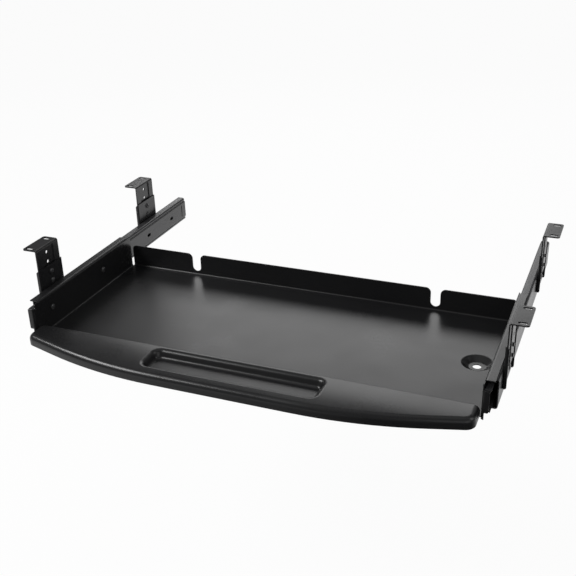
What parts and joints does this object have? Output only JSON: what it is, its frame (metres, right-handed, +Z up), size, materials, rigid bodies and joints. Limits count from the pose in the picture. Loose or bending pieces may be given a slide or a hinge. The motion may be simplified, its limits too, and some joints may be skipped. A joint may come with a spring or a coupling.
{
  "type": "under-desk keyboard tray",
  "caption": "Black sheet-steel keyboard tray on ball-bearing slides, hung under a desk by slotted brackets, with a raised palm rest, a pen trough and cable notches.",
  "frame": {"origin": "on the underside of the desk, in the middle of the slots of the four desk brackets", "axes": "+X to the user's right, +Y to the rear of the desk, +Z up"},
  "size_m": [0.611, 0.4485, 0.1026],
  "materials": {
    "tray_black": "satin powder coat",
    "rail_black": "satin black plating",
    "bracket_black": "satin powder coat",
    "fastener_black": "black oxide",
    "bearing_steel": "bright"
  },
  "bodies": {
    "frame": {"left_outer_rail": "rail_black", "right_outer_rail": "rail_black", "front_left_drop_bracket": "bracket_black", "front_right_drop_bracket": "bracket_black", "rear_left_drop_bracket": "bracket_black", "rear_right_drop_bracket": "bracket_black", "front_left_desk_bracket": "bracket_black", "front_right_desk_bracket": "bracket_black", "rear_left_desk_bracket": "bracket_black", "rear_right_desk_bracket": "bracket_black", "height_screws": "fastener_black", "rail_rivets": "fastener_black"},
    "tray": {"tray_floor": "tray_black", "accessory_dimple": "tray_black", "rear_wall": "tray_black", "left_side_wall": "tray_black", "right_side_wall": "tray_black", "front_wall": "tray_black", "palm_rest": "tray_black", "pen_trough": "tray_black", "tray_screws": "fastener_black", "left_drawer_rail": "rail_black", "right_drawer_rail": "rail_black"},
    "left_cage": {"left_ball_cage": "bearing_steel", "left_balls": "bearing_steel"},
    "right_cage": {"right_ball_cage": "bearing_steel", "right_balls": "bearing_steel"}
  },
  "joints": [
    {"name": "tray_slide", "type": "slide", "parent": "frame", "child": "tray", "axis": [0, -1, 0], "range_m": [0, 0.25]},
    {"name": "left_cage_slide", "type": "slide", "parent": "frame", "child": "left_cage", "axis": [0, -1, 0], "range_m": [0, 0.125]},
    {"name": "right_cage_slide", "type": "slide", "parent": "frame", "child": "right_cage", "axis": [0, -1, 0], "range_m": [0, 0.125]}
  ],
  "couplings": [
    {"joint": "left_cage_slide", "follows": "tray_slide", "ratio": 0.5},
    {"joint": "right_cage_slide", "follows": "tray_slide", "ratio": 0.5}
  ]
}
